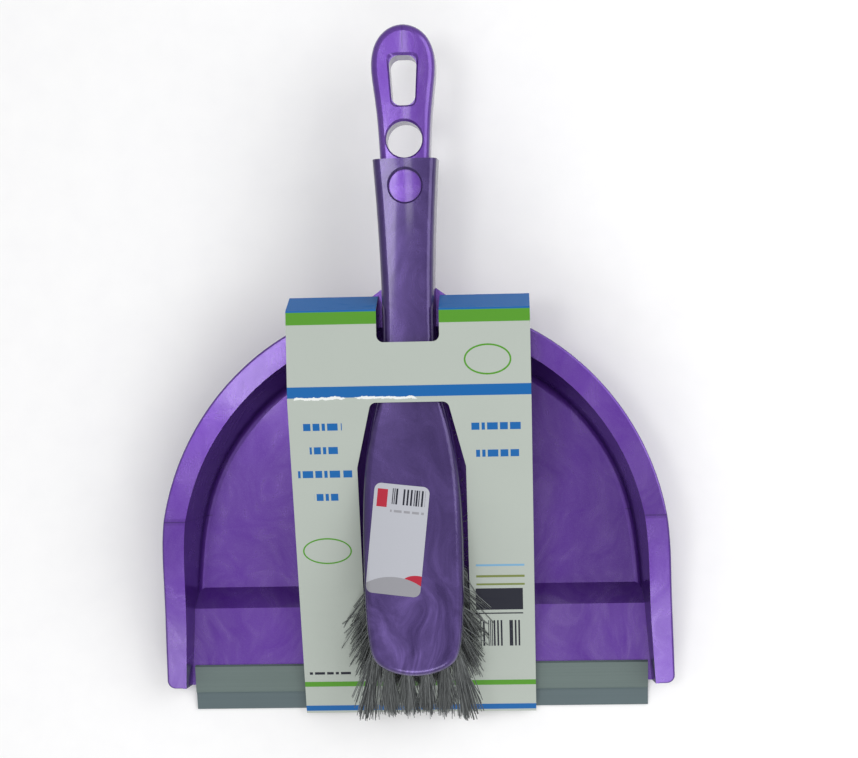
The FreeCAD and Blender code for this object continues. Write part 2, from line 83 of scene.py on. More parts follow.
# ---------------------------------------------------------------------------------------------
# Node helpers
# ---------------------------------------------------------------------------------------------
def linear(red: int, green: int, blue: int) -> Colour:
    """Turn an 8-bit screen colour into linear light, by the sRGB curve.

    Args:
        red: Red, 0 to 255.
        green: Green, 0 to 255.
        blue: Blue, 0 to 255.

    Returns:
        The same colour as Blender's linear values.
    """
    def channel(value: int) -> float:
        """Turn one channel, 0 to 255, into linear light."""
        v = value / 255
        return v / 12.92 if v <= 0.04045 else ((v + 0.055) / 1.055) ** 2.4
    return channel(red), channel(green), channel(blue)


@dataclass
class Tree:
    """A node tree being built, with short calls for the nodes that the finishes use."""

    tree: bpy.types.NodeTree

    def add(self, kind: str, **settings: object) -> Node:
        """Add a node and set its properties and input values.

        Args:
            kind: The node's type name.
            settings: Properties by name, or input values as in_INDEX.

        Returns:
            The new node.
        """
        node = self.tree.nodes.new(kind)
        for name, value in settings.items():
            if not name.startswith(INPUT_MARK):
                setattr(node, name, value)
        for name, value in settings.items():
            if name.startswith(INPUT_MARK):
                self.feed(node.inputs[int(name.removeprefix(INPUT_MARK))], value)
        return node

    def feed(self, target: Socket, value: object) -> None:
        """Give a socket a value, or link another socket to it.

        Args:
            target: The input.
            value: A plain value, a colour without its alpha, or another socket.
        """
        if isinstance(value, Socket):
            self.tree.links.new(value, target)
        elif isinstance(value, tuple) and len(value) == 3 and target.type == "RGBA":
            target.default_value = (*value, 1.0)
        else:
            target.default_value = value

    def fill(self, node: Node, **values: object) -> Node:
        """Feed a node's inputs by their names.

        Args:
            node: The node.
            values: What goes into each input.

        Returns:
            The same node.
        """
        for name, value in values.items():
            self.feed(node.inputs[name], value)
        return node

    def math(self, operation: str, *values: object, clamp: bool = False) -> Socket:
        """One math node.

        Args:
            operation: The node's operation.
            values: Numbers or sockets, in order.
            clamp: Whether the result stays between 0 and 1.

        Returns:
            The node's output.
        """
        settings = {f"{INPUT_MARK}{i}": value for i, value in enumerate(values)}
        return self.add("ShaderNodeMath", operation=operation, use_clamp=clamp, **settings).outputs[0]

    def times(self, first: object, second: object) -> Socket:
        """The product of two values."""
        return self.math("MULTIPLY", first, second)

    def plus(self, first: object, second: object, clamp: bool = False) -> Socket:
        """The sum of two values, kept between 0 and 1 if clamp is set."""
        return self.math("ADD", first, second, clamp=clamp)

    def vector(self, operation: str, *values: object) -> Socket:
        """One vector math node, by its operation and its inputs in order."""
        settings = {f"{INPUT_MARK}{i}": value for i, value in enumerate(values)}
        return self.add("ShaderNodeVectorMath", operation=operation, **settings).outputs[0]

    def axes(self, vector: object) -> list[Socket]:
        """A vector's x, y and z."""
        return list(self.add("ShaderNodeSeparateXYZ", in_0=vector).outputs)

    def mix(self, factor: object, first: object, second: object, blend: str = "MIX") -> Socket:
        """Mix two colours.

        Args:
            factor: Share of the second colour.
            first: Colour or socket.
            second: Colour or socket.
            blend: Blend type.

        Returns:
            The mixed colour.
        """
        return self.add("ShaderNodeMix", data_type="RGBA", blend_type=blend, in_0=factor, in_6=first,
                        in_7=second).outputs[2]

    def ramp(self, factor: object, stops: Stops) -> Socket:
        """A grey colour ramp.

        Args:
            factor: What is looked up.
            stops: Position and grey level of each stop.

        Returns:
            The ramp's value.
        """
        node = self.add("ShaderNodeValToRGB", in_0=factor)
        elements = node.color_ramp.elements
        while len(elements) < len(stops):
            elements.new(0.5)
        for element, (position, level) in zip(elements, stops):
            element.position = position
            element.color = (level, level, level, 1)
        return node.outputs[0]

    def noise(self, vector: object, scale: float, detail: float = 3, roughness: float = 0.5,
              distortion: float = 0) -> Socket:
        """A noise texture's value."""
        return self.add("ShaderNodeTexNoise", in_0=vector, in_2=scale, in_3=detail, in_4=roughness,
                        in_8=distortion).outputs[0]

    def mapped(self, vector: object, scale: Triple, turn: Triple = (0, 0, 0)) -> Socket:
        """A vector turned and scaled by a Mapping node."""
        return self.add("ShaderNodeMapping", in_0=vector, in_1=(0, 0, 0), in_2=turn, in_3=scale).outputs[0]

    def measured(self, vector: object, centre: Pair, turn: float) -> Socket:
        """A place as it is measured from a centre, along axes turned about z."""
        return self.add("ShaderNodeMapping", vector_type="TEXTURE", in_0=vector, in_1=(*centre, 0),
                        in_2=(0, 0, turn)).outputs[0]

    def wandered(self, place: object, noise: Socket, reach: Triple) -> Socket:
        """A place moved to and fro by a noise, half its reach each way."""
        return self.vector("ADD", place, self.mapped(self.math("SUBTRACT", noise, 0.5), reach))


def new_group(name: str, inputs: dict[str, tuple[str, object]],
              outputs: dict[str, str]) -> tuple[Tree, Node, Node]:
    """Make a shader node group with named sockets.

    Args:
        name: The group's name.
        inputs: Socket type and default value by name.
        outputs: Socket type by name.

    Returns:
        The tree, its input node and its output node.
    """
    group = bpy.data.node_groups.new(name, "ShaderNodeTree")
    for socket, (kind, value) in inputs.items():
        item = group.interface.new_socket(socket, in_out="INPUT", socket_type=f"NodeSocket{kind}")
        if value is not None:
            item.default_value = value
    for socket, kind in outputs.items():
        group.interface.new_socket(socket, in_out="OUTPUT", socket_type=f"NodeSocket{kind}")
    tree = Tree(group)
    return tree, tree.add("NodeGroupInput"), tree.add("NodeGroupOutput")


@dataclass(frozen=True)
class PearlFlow:
    """The shared group of the pearl plastic: the sizes of its patterns and how far each one shows."""

    bend_scale: float = 9
    bend_reach: Triple = (0.16, 0.16, 0.16)
    streak_stretch: Triple = (26, 9, 26)
    streak_scale: float = 3.0
    streak_stops: Stops = ((0.34, 0), (0.52, 0.35), (0.72, 1))
    streak_roughness: float = -0.05
    cloud_scale: float = 14
    cloud_share: float = 0.55
    cloud_height: float = 0.4
    flake_scale: float = 2600
    flake_stops: Stops = ((0.5, 0), (0.72, 1))
    flake_share: float = 0.16
    scuff_stretch: Triple = (260, 30, 260)
    scuff_scale: float = 2
    scuff_stops: Stops = ((0.55, 0), (0.8, 1))
    scuff_roughness: float = 0.10
    skin_scale: float = 900
    skin_height: float = 0.6

    def build(self) -> bpy.types.NodeTree:
        """Pigment that swirls with the melt's flow, fine flake, and soft handling wear.

        Returns:
            The node group, with a colour, a roughness and a height.
        """
        tree, given, made = new_group(
            "pearl_flow",
            {"Vector": ("Vector", None), "Base": ("Color", (0.2, 0.08, 0.4, 1)),
             "Deep": ("Color", (0.1, 0.04, 0.2, 1)), "Pearl": ("Color", (0.4, 0.3, 0.6, 1)),
             "Swirl": ("Float", 0.5), "Roughness": ("Float", 0.3)},
            {"Color": "Color", "Roughness": "Float", "Height": "Float"})
        place, base, deep, pearl = (given.outputs[name] for name in ("Vector", "Base", "Deep", "Pearl"))
        bent = tree.noise(place, self.bend_scale, detail=2)
        warped = tree.vector("ADD", place, tree.mapped(bent, self.bend_reach))
        streaks = tree.noise(tree.mapped(warped, self.streak_stretch), self.streak_scale, detail=6,
                             roughness=0.62, distortion=0.6)
        flow = tree.ramp(streaks, self.streak_stops)
        cloud = tree.noise(place, self.cloud_scale)
        speck = tree.ramp(tree.noise(place, self.flake_scale, detail=2, roughness=0.7), self.flake_stops)
        colour = tree.mix(tree.times(cloud, self.cloud_share), base, deep)
        colour = tree.mix(tree.times(flow, given.outputs["Swirl"]), colour, pearl)
        colour = tree.mix(tree.times(speck, self.flake_share), colour, pearl)
        worn = tree.noise(tree.mapped(place, self.scuff_stretch), self.scuff_scale, detail=4, roughness=0.7)
        scuff = tree.ramp(worn, self.scuff_stops)
        rough = tree.plus(given.outputs["Roughness"], tree.times(scuff, self.scuff_roughness))
        rough = tree.plus(rough, tree.times(flow, self.streak_roughness), clamp=True)
        skin = tree.noise(place, self.skin_scale, detail=2)
        height = tree.plus(tree.times(skin, self.skin_height), tree.times(cloud, self.cloud_height))
        tree.fill(made, Color=colour, Roughness=rough, Height=height)
        return tree.tree


def build_patch_group() -> bpy.types.NodeTree:
    """A printed patch: 1 inside a rectangle or an ellipse, 0 outside.

    Returns:
        The node group; Round is 0 for a rectangle and 1 for an ellipse.
    """
    tree, given, made = new_group(
        "printed_patch",
        {"Vector": ("Vector", None), "Centre": ("Vector", (0, 0, 0)), "Half": ("Vector", (0.01, 0.01, 1)),
         "Round": ("Float", 0.0)},
        {"Mask": "Float"})
    offset = tree.vector("SUBTRACT", given.outputs["Vector"], given.outputs["Centre"])
    x, y, _ = tree.axes(tree.vector("ABSOLUTE", tree.vector("DIVIDE", offset, given.outputs["Half"])))
    in_square = tree.math("LESS_THAN", tree.math("MAXIMUM", x, y), 1.0)
    squared = tree.plus(tree.math("POWER", x, 2.0), tree.math("POWER", y, 2.0))
    in_oval = tree.math("LESS_THAN", squared, 1.0)
    square_share = tree.math("SUBTRACT", 1.0, given.outputs["Round"])
    mask = tree.plus(tree.times(in_square, square_share), tree.times(in_oval, given.outputs["Round"]))
    tree.fill(made, Mask=mask)
    return tree.tree


@dataclass(frozen=True)
class CoatedPaper:
    """The shared group of coated paper and board: the sizes of its patterns and how far each one shows."""

    fibre_scale: float = 1400
    fibre_shade: float = 0.03
    fibre_height: float = 0.06
    wave_scale: float = 18
    wave_shade: float = 0.10
    wave_height: float = 0.8
    crease_stretch: Triple = (8, 60, 8)
    crease_turn: Triple = (0, 0, 0.5)
    crease_scale: float = 3
    crease_stops: Stops = ((0.60, 0), (0.66, 1))
    crease_roughness: float = 0.12
    roughness: float = 0.44

    def build(self) -> bpy.types.NodeTree:
        """Faint fibre, a few soft creases and handling marks.

        Returns:
            The node group, with a shade, a roughness and a height.
        """
        tree, given, made = new_group("coated_paper", {"Vector": ("Vector", None), "Marks": ("Float", 0.5)},
                                      {"Shade": "Color", "Roughness": "Float", "Height": "Float"})
        place = given.outputs["Vector"]
        fibre = tree.noise(place, self.fibre_scale, roughness=0.6)
        wave = tree.noise(place, self.wave_scale)
        creased = tree.mapped(place, self.crease_stretch, self.crease_turn)
        folds = tree.noise(creased, self.crease_scale, detail=4, roughness=0.6)
        crease = tree.ramp(folds, self.crease_stops)
        marked = tree.times(tree.times(wave, self.wave_shade), given.outputs["Marks"])
        shade = tree.math("SUBTRACT", tree.math("SUBTRACT", 1.0, marked), tree.times(fibre, self.fibre_shade))
        rough = tree.plus(self.roughness, tree.times(crease, self.crease_roughness))
        height = tree.plus(tree.times(wave, self.wave_height), tree.times(fibre, self.fibre_height))
        tree.fill(made, Shade=shade, Roughness=rough, Height=height)
        return tree.tree


class Groups:
    """The shared node groups, each built once."""

    def __init__(self) -> None:
        """Build every group."""
        self.pearl = PearlFlow().build()
        self.patch = build_patch_group()
        self.paper = CoatedPaper().build()

    def patch_mask(self, tree: Tree, place: Socket, centre: Pair, half: Pair, oval: float = 0.0) -> Socket:
        """Use the patch group.

        Args:
            tree: The material's tree.
            place: Position on the surface.
            centre: The patch's centre.
            half: Its half width and half height.
            oval: 0 for a rectangle and 1 for an ellipse.

        Returns:
            1 on the patch and 0 elsewhere.
        """
        node = tree.add("ShaderNodeGroup", node_tree=self.patch)
        return tree.fill(node, Vector=place, Centre=(*centre, 0), Half=(*half, 1), Round=oval).outputs[0]


@dataclass(frozen=True)
class Finish:
    """A material under construction: its tree, shader and object coordinates."""

    material: bpy.types.Material
    tree: Tree
    shader: Node
    place: Socket

    def surface(self, colour: object, roughness: object) -> None:
        """Feed the shader's colour and roughness."""
        self.tree.feed(self.shader.inputs["Base Color"], colour)
        self.tree.feed(self.shader.inputs["Roughness"], roughness)

    def bump(self, height: object, strength: float, distance: float) -> None:
        """Feed a height to the shader's normal through a Bump node.

        Args:
            height: The height's socket.
            strength: How strong the bump is, 0 to 1.
            distance: How tall it is, in metres.
        """
        node = self.tree.add("ShaderNodeBump", in_0=strength, in_1=distance)
        self.tree.feed(node.inputs["Height"], height)
        self.tree.feed(self.shader.inputs["Normal"], node.outputs[0])

    def use(self, group: bpy.types.NodeTree, **values: object) -> Node:
        """Place a shared group with its own values."""
        return self.tree.fill(self.tree.add("ShaderNodeGroup", node_tree=group), Vector=self.place, **values)


def new_finish(name: str) -> Finish:
    """Start a material with a Principled shader and Object coordinates.

    Args:
        name: The material's name.

    Returns:
        The open finish.
    """
    material = bpy.data.materials.new(name)
    material.use_nodes = True
    tree = Tree(material.node_tree)
    shader = material.node_tree.nodes["Principled BSDF"]
    return Finish(material, tree, shader, tree.add("ShaderNodeTexCoord").outputs["Object"])


# ---------------------------------------------------------------------------------------------
# Finishes
# ---------------------------------------------------------------------------------------------
@dataclass(frozen=True)
class Weld:
    """A knit line where two fronts of melt met: its middle and its half size."""

    centre: Pair
    half: Pair


@dataclass(frozen=True)
class PearlPlastic:
    """Purple pearl polypropylene, swirled more at the front, with painted shade: darker towards the deep
    colour where the surface turns away from the camera, partly the pearl's own falloff and partly the shade
    on steep walls and shoulders.
    """

    moulding: Moulding
    base: Colour
    deep: Colour
    pearl: Colour
    swirl: float
    front_swirl: float
    welds: tuple[Weld, ...]
    swirl_from: float = 0.02
    front_swirl_from: float = -0.05
    roughness: float = 0.30
    metallic: float = 0.5
    coat: float = 0.55
    coat_roughness: float = 0.08
    # share of painted shade on faces turned away from the camera
    turned_away_shade_share: float = 0.85
    weld_scale: float = 120
    weld_reach: Triple = (0.0012, 0, 0)
    weld_shade: float = 0.5
    weld_depth: float = 0.5
    bump_strength: float = 0.12
    bump_distance: float = 0.0004

    def weld_mask(self, finish: Finish, groups: Groups) -> object:
        """Where the knit lines run.

        Args:
            finish: The open finish.
            groups: The shared node groups.

        Returns:
            1 on a line and 0 elsewhere.
        """
        tree = finish.tree
        mask: object = 0.0
        for weld in self.welds:
            bent = tree.noise(finish.place, self.weld_scale, detail=1)
            wavy = tree.wandered(tree.measured(finish.place, weld.centre, 0), bent, self.weld_reach)
            mask = tree.math("MAXIMUM", groups.patch_mask(tree, wavy, (0, 0), weld.half), mask)
        return mask

    def material(self, groups: Groups) -> bpy.types.Material:
        """Build the material.

        Args:
            groups: The shared node groups.

        Returns:
            The material.
        """
        finish = new_finish(f"pearl_plastic_{self.moulding.value}")
        tree, shader = finish.tree, finish.shader
        forward = tree.add("ShaderNodeMapRange", in_0=tree.axes(finish.place)[1], in_1=self.swirl_from,
                           in_2=self.front_swirl_from, in_3=self.swirl, in_4=self.front_swirl).outputs[0]
        flow = finish.use(groups.pearl, Base=self.base, Deep=self.deep, Pearl=self.pearl, Swirl=forward,
                          Roughness=self.roughness)
        weld = self.weld_mask(finish, groups)
        # painted shade: the colour is pulled towards the deep colour on faces turned away from the camera,
        # partly the pearl's falloff and partly the shade on steep walls and shoulders
        facing_shade = tree.add("ShaderNodeLayerWeight", in_0=0.5).outputs[1]
        colour = tree.mix(tree.times(facing_shade, self.turned_away_shade_share), flow.outputs["Color"], self.deep)
        colour = tree.mix(tree.times(weld, self.weld_shade), colour, self.deep)
        finish.surface(colour, flow.outputs["Roughness"])
        shader.inputs["Metallic"].default_value = self.metallic
        shader.inputs["Coat Weight"].default_value = self.coat
        shader.inputs["Coat Roughness"].default_value = self.coat_roughness
        height = tree.math("SUBTRACT", flow.outputs["Height"], tree.times(weld, self.weld_depth))
        finish.bump(height, self.bump_strength, self.bump_distance)
        return finish.material


@dataclass(frozen=True)
class LipCompound:
    """Soft grey strip compound, with the drawn lines that extrusion leaves along it."""

    jaw: Colour = linear(100, 116, 113)
    blade: Colour = linear(86, 103, 107)
    blade_from: float = -0.0827
    line_stretch: Triple = (3, 900, 900)
    line_shade: float = 0.16
    line_roughness: float = 0.2
    cloud_scale: float = 26
    cloud_shade: float = 0.12
    lightest: float = 1.06
    roughness: float = 0.42
    bump_strength: float = 0.25
    bump_distance: float = 0.0003

    def material(self) -> bpy.types.Material:
        """Build the material.

        Returns:
            The material.
        """
        finish = new_finish("lip_compound")
        tree = finish.tree
        lines = tree.noise(tree.mapped(finish.place, self.line_stretch), 1.0, roughness=0.6)
        cloud = tree.noise(finish.place, self.cloud_scale)
        on_blade = tree.math("LESS_THAN", tree.axes(finish.place)[1], self.blade_from)
        dirt = tree.plus(tree.times(lines, self.line_shade), tree.times(cloud, self.cloud_shade))
        shade = tree.math("SUBTRACT", self.lightest, dirt)
        colour = tree.mix(1.0, tree.mix(on_blade, self.jaw, self.blade), shade, "MULTIPLY")
        finish.surface(colour, tree.plus(self.roughness, tree.times(lines, self.line_roughness)))
        finish.bump(lines, self.bump_strength, self.bump_distance)
        return finish.material


@dataclass(frozen=True)
class BristleFibre:
    """Dark grey crimped fibre, each strand a little lighter or darker than the next."""

    dark: Colour = linear(42, 46, 47)
    light: Colour = linear(126, 130, 130)
    strand_share: float = 0.8
    shine_scale: float = 420
    shine_share: float = 0.2
    shine_roughness: float = 0.2
    roughness: float = 0.34

    def material(self) -> bpy.types.Material:
        """Build the material.

        Returns:
            The material.
        """
        finish = new_finish("bristle_fibre")
        tree = finish.tree
        strand = tree.add("ShaderNodeAttribute", attribute_name="strand_tone").outputs["Fac"]
        shine = tree.noise(finish.place, self.shine_scale, detail=2)
        tone = tree.plus(tree.times(strand, self.strand_share), tree.times(shine, self.shine_share))
        finish.surface(tree.mix(tone, self.dark, self.light),
                       tree.plus(self.roughness, tree.times(shine, self.shine_roughness)))
        return finish.material


@dataclass(frozen=True)
class AnchorWire:
    """Drawn steel wire."""

    dark: Colour = linear(120, 122, 126)
    light: Colour = linear(170, 172, 176)
    draw_stretch: Triple = (40, 900, 900)
    draw_scale: float = 2
    draw_roughness: float = 0.2
    roughness: float = 0.25

    def material(self) -> bpy.types.Material:
        """Build the material.

        Returns:
            The material.
        """
        finish = new_finish("anchor_wire")
        tree = finish.tree
        drawn = tree.noise(tree.mapped(finish.place, self.draw_stretch), self.draw_scale, roughness=0.6)
        finish.surface(tree.mix(drawn, self.dark, self.light),
                       tree.plus(self.roughness, tree.times(drawn, self.draw_roughness)))
        finish.shader.inputs["Metallic"].default_value = 1.0
        return finish.material


@dataclass(frozen=True)
class Grain:
    """How a broken print is cut up: the stretch of its noise, and the level that ink starts at."""

    stretch: Triple
    level: float


GRAIN_SCALE = 950
GRAINS = {
    Fill.BARS: Grain((1, 0, 0), 0.5),
    Fill.WORDS: Grain((0.40, 0, 0), 0.42),
    Fill.WORN: Grain((0.05, 0.05, 0), 0.44),
}


@dataclass(frozen=True)
class Patch:
    """One printed patch: its centre, half size, colour, outline and filling."""

    centre: Pair
    half: Pair
    ink: Colour
    oval: float = 0.0
    fill: Fill = Fill.SOLID


@dataclass(frozen=True)
class PrintedPaper:
    """Coated paper or board with plain bands and patches of ink on its outer face."""

    name: str
    paper: Colour
    back: Colour
    patches: tuple[Patch, ...]
    turn: float = 0.0
    centre: Pair = (0.0, 0.0)
    marks: float = 0.6
    outer_from: float = 0.02
    specular: float = 0.18
    fray_scale: float = 160
    fray_reach: Triple = (0, 0.0042, 0)
    bump_strength: float = 0.25
    bump_distance: float = 0.0012

    def patch_mask(self, tree: Tree, groups: Groups, place: Socket, patch: Patch) -> Socket:
        """Where one patch lays down its ink.

        Args:
            tree: The material's tree.
            groups: The shared node groups.
            place: Position on the sheet.
            patch: The patch.

        Returns:
            1 where there is ink and 0 elsewhere.
        """
        if patch.fill is Fill.WORN:
            frayed = tree.noise(place, self.fray_scale, detail=4, roughness=0.7)
            place = tree.wandered(place, frayed, self.fray_reach)
        mask = groups.patch_mask(tree, place, patch.centre, patch.half, patch.oval)
        if patch.fill is Fill.SOLID:
            return mask
        grain = GRAINS[patch.fill]
        wave = tree.noise(tree.mapped(place, grain.stretch), GRAIN_SCALE, detail=0)
        return tree.times(mask, tree.math("GREATER_THAN", wave, grain.level))

    def material(self, groups: Groups) -> bpy.types.Material:
        """Build the material.

        Args:
            groups: The shared node groups.

        Returns:
            The material.
        """
        finish = new_finish(self.name)
        tree = finish.tree
        board = finish.use(groups.paper, Marks=self.marks)
        sheet = tree.measured(finish.place, self.centre, self.turn)
        colour: object = self.paper
        for patch in self.patches:
            colour = tree.mix(self.patch_mask(tree, groups, sheet, patch), colour, patch.ink)
        upward = tree.axes(tree.add("ShaderNodeTexCoord").outputs["Normal"])[2]
        colour = tree.mix(tree.math("GREATER_THAN", upward, self.outer_from), self.back, colour)
        finish.surface(tree.mix(1.0, colour, board.outputs["Shade"], "MULTIPLY"), board.outputs["Roughness"])
        finish.shader.inputs["Specular IOR Level"].default_value = self.specular
        finish.bump(board.outputs["Height"], self.bump_strength, self.bump_distance)
        return finish.material


# ---------------------------------------------------------------------------------------------
# Mesh helpers
# ---------------------------------------------------------------------------------------------
def dress(node: str, material: bpy.types.Material) -> bpy.types.Object:
    """Give a CAD node a finish.

    Args:
        node: The node's name.
        material: What it is made of.

    Returns:
        The node's object.
    """
    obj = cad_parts[node]
    obj.data.materials.clear()
    obj.data.materials.append(material)
    LOG.info("dressed %s", node)
    return obj


def deselect() -> None:
    """Leave nothing selected."""
    bpy.ops.object.select_all(action="DESELECT")


def islands(mesh: bpy.types.Mesh) -> list[list[Vector]]:
    """Split a mesh into its separate solids.

    Args:
        mesh: The mesh of one node.

    Returns:
        The points of each solid.
    """
    links: dict[int, set[int]] = {}
    merged: dict[tuple[int, ...], int] = {}
    index = [merged.setdefault(tuple(round(c * MERGE_STEPS) for c in v.co), i)
             for i, v in enumerate(mesh.vertices)]
    for edge in mesh.edges:
        a, b = (index[i] for i in edge.vertices)
        links.setdefault(a, set()).add(b)
        links.setdefault(b, set()).add(a)
    found, seen = [], set()
    for start in links:
        if start in seen:
            continue
        island, queue = [], [start]
        seen.add(start)
        while queue:
            here = queue.pop()
            island.append(mesh.vertices[here].co)
            for other in links[here] - seen:
                seen.add(other)
                queue.append(other)
        found.append(island)
    return found


@dataclass
class Rods:
    """Thin four-sided rods that are gathered into one mesh."""

    vertices: list[Vector] = field(default_factory=list)
    faces: list[tuple[int, ...]] = field(default_factory=list)
    tones: list[float] = field(default_factory=list)
    seldom_along: Vector = field(default_factory=lambda: Vector((0.31, 0.95, 0.02)))

    def add(self, points: list[Vector], width: float, tone: float) -> None:
        """Add one rod.

        Args:
            points: Its centre line.
            width: From the line to each of its edges.
            tone: How light it is, 0 to 1.
        """
        first = len(self.vertices)
        for i, p in enumerate(points):
            ahead = (points[min(i + 1, len(points) - 1)] - points[max(i - 1, 0)]).normalized()
            across = ahead.cross(self.seldom_along).normalized()
            other = ahead.cross(across)
            self.vertices += [p + across * width, p + other * width, p - across * width, p - other * width]
            self.tones += [tone] * ROD_SIDES
        last = len(self.vertices) - ROD_SIDES
        for low in range(first, last, ROD_SIDES):
            high = low + ROD_SIDES
            for side in range(ROD_SIDES):
                after = (side + 1) % ROD_SIDES
                self.faces.append((low + side, low + after, high + after, high + side))
        self.faces += [(first + 3, first + 2, first + 1, first), (last, last + 1, last + 2, last + 3)]

    def make(self, name: str, material: bpy.types.Material) -> bpy.types.Object:
        """Turn the rods into a smooth object whose normals point outwards.

        Args:
            name: The object's name.
            material: What the rods are made of.

        Returns:
            The object.
        """
        mesh = bpy.data.meshes.new(name)
        mesh.from_pydata(self.vertices, [], self.faces)
        mesh.attributes.new("strand_tone", "FLOAT", "POINT").data.foreach_set("value", self.tones)
        mesh.materials.append(material)
        obj = bpy.data.objects.new(name, mesh)
        bpy.context.scene.collection.objects.link(obj)
        deselect()
        obj.select_set(True)
        bpy.context.view_layer.objects.active = obj
        bpy.ops.object.mode_set(mode="EDIT")
        bpy.ops.mesh.select_all(action="SELECT")
        bpy.ops.mesh.normals_make_consistent(inside=False)
        bpy.ops.object.mode_set(mode="OBJECT")
        bpy.ops.object.shade_smooth()
        return obj


# ---------------------------------------------------------------------------------------------
# Sub-assemblies
# ---------------------------------------------------------------------------------------------
@dataclass
class Pan:
    """The dustpan moulding and its lip strip."""

    plastic: PearlPlastic = PearlPlastic(
        Moulding.PAN, base=linear(102, 44, 172), deep=linear(32, 2, 72), pearl=linear(172, 146, 214),
        swirl=0.18, front_swirl=0.26,
        welds=(Weld((0, 0.3040), (0.00022, 0.0070)), Weld((-0.140, 0.0260), (0.014, 0.00035)),
               Weld((0.140, 0.0260), (0.014, 0.00035))))
    strip: LipCompound = LipCompound()

    def build(self, groups: Groups) -> None:
        """Dress both pieces."""
        dress("dustpan_body", self.plastic.material(groups))
        dress("rubber_lip", self.strip.material())


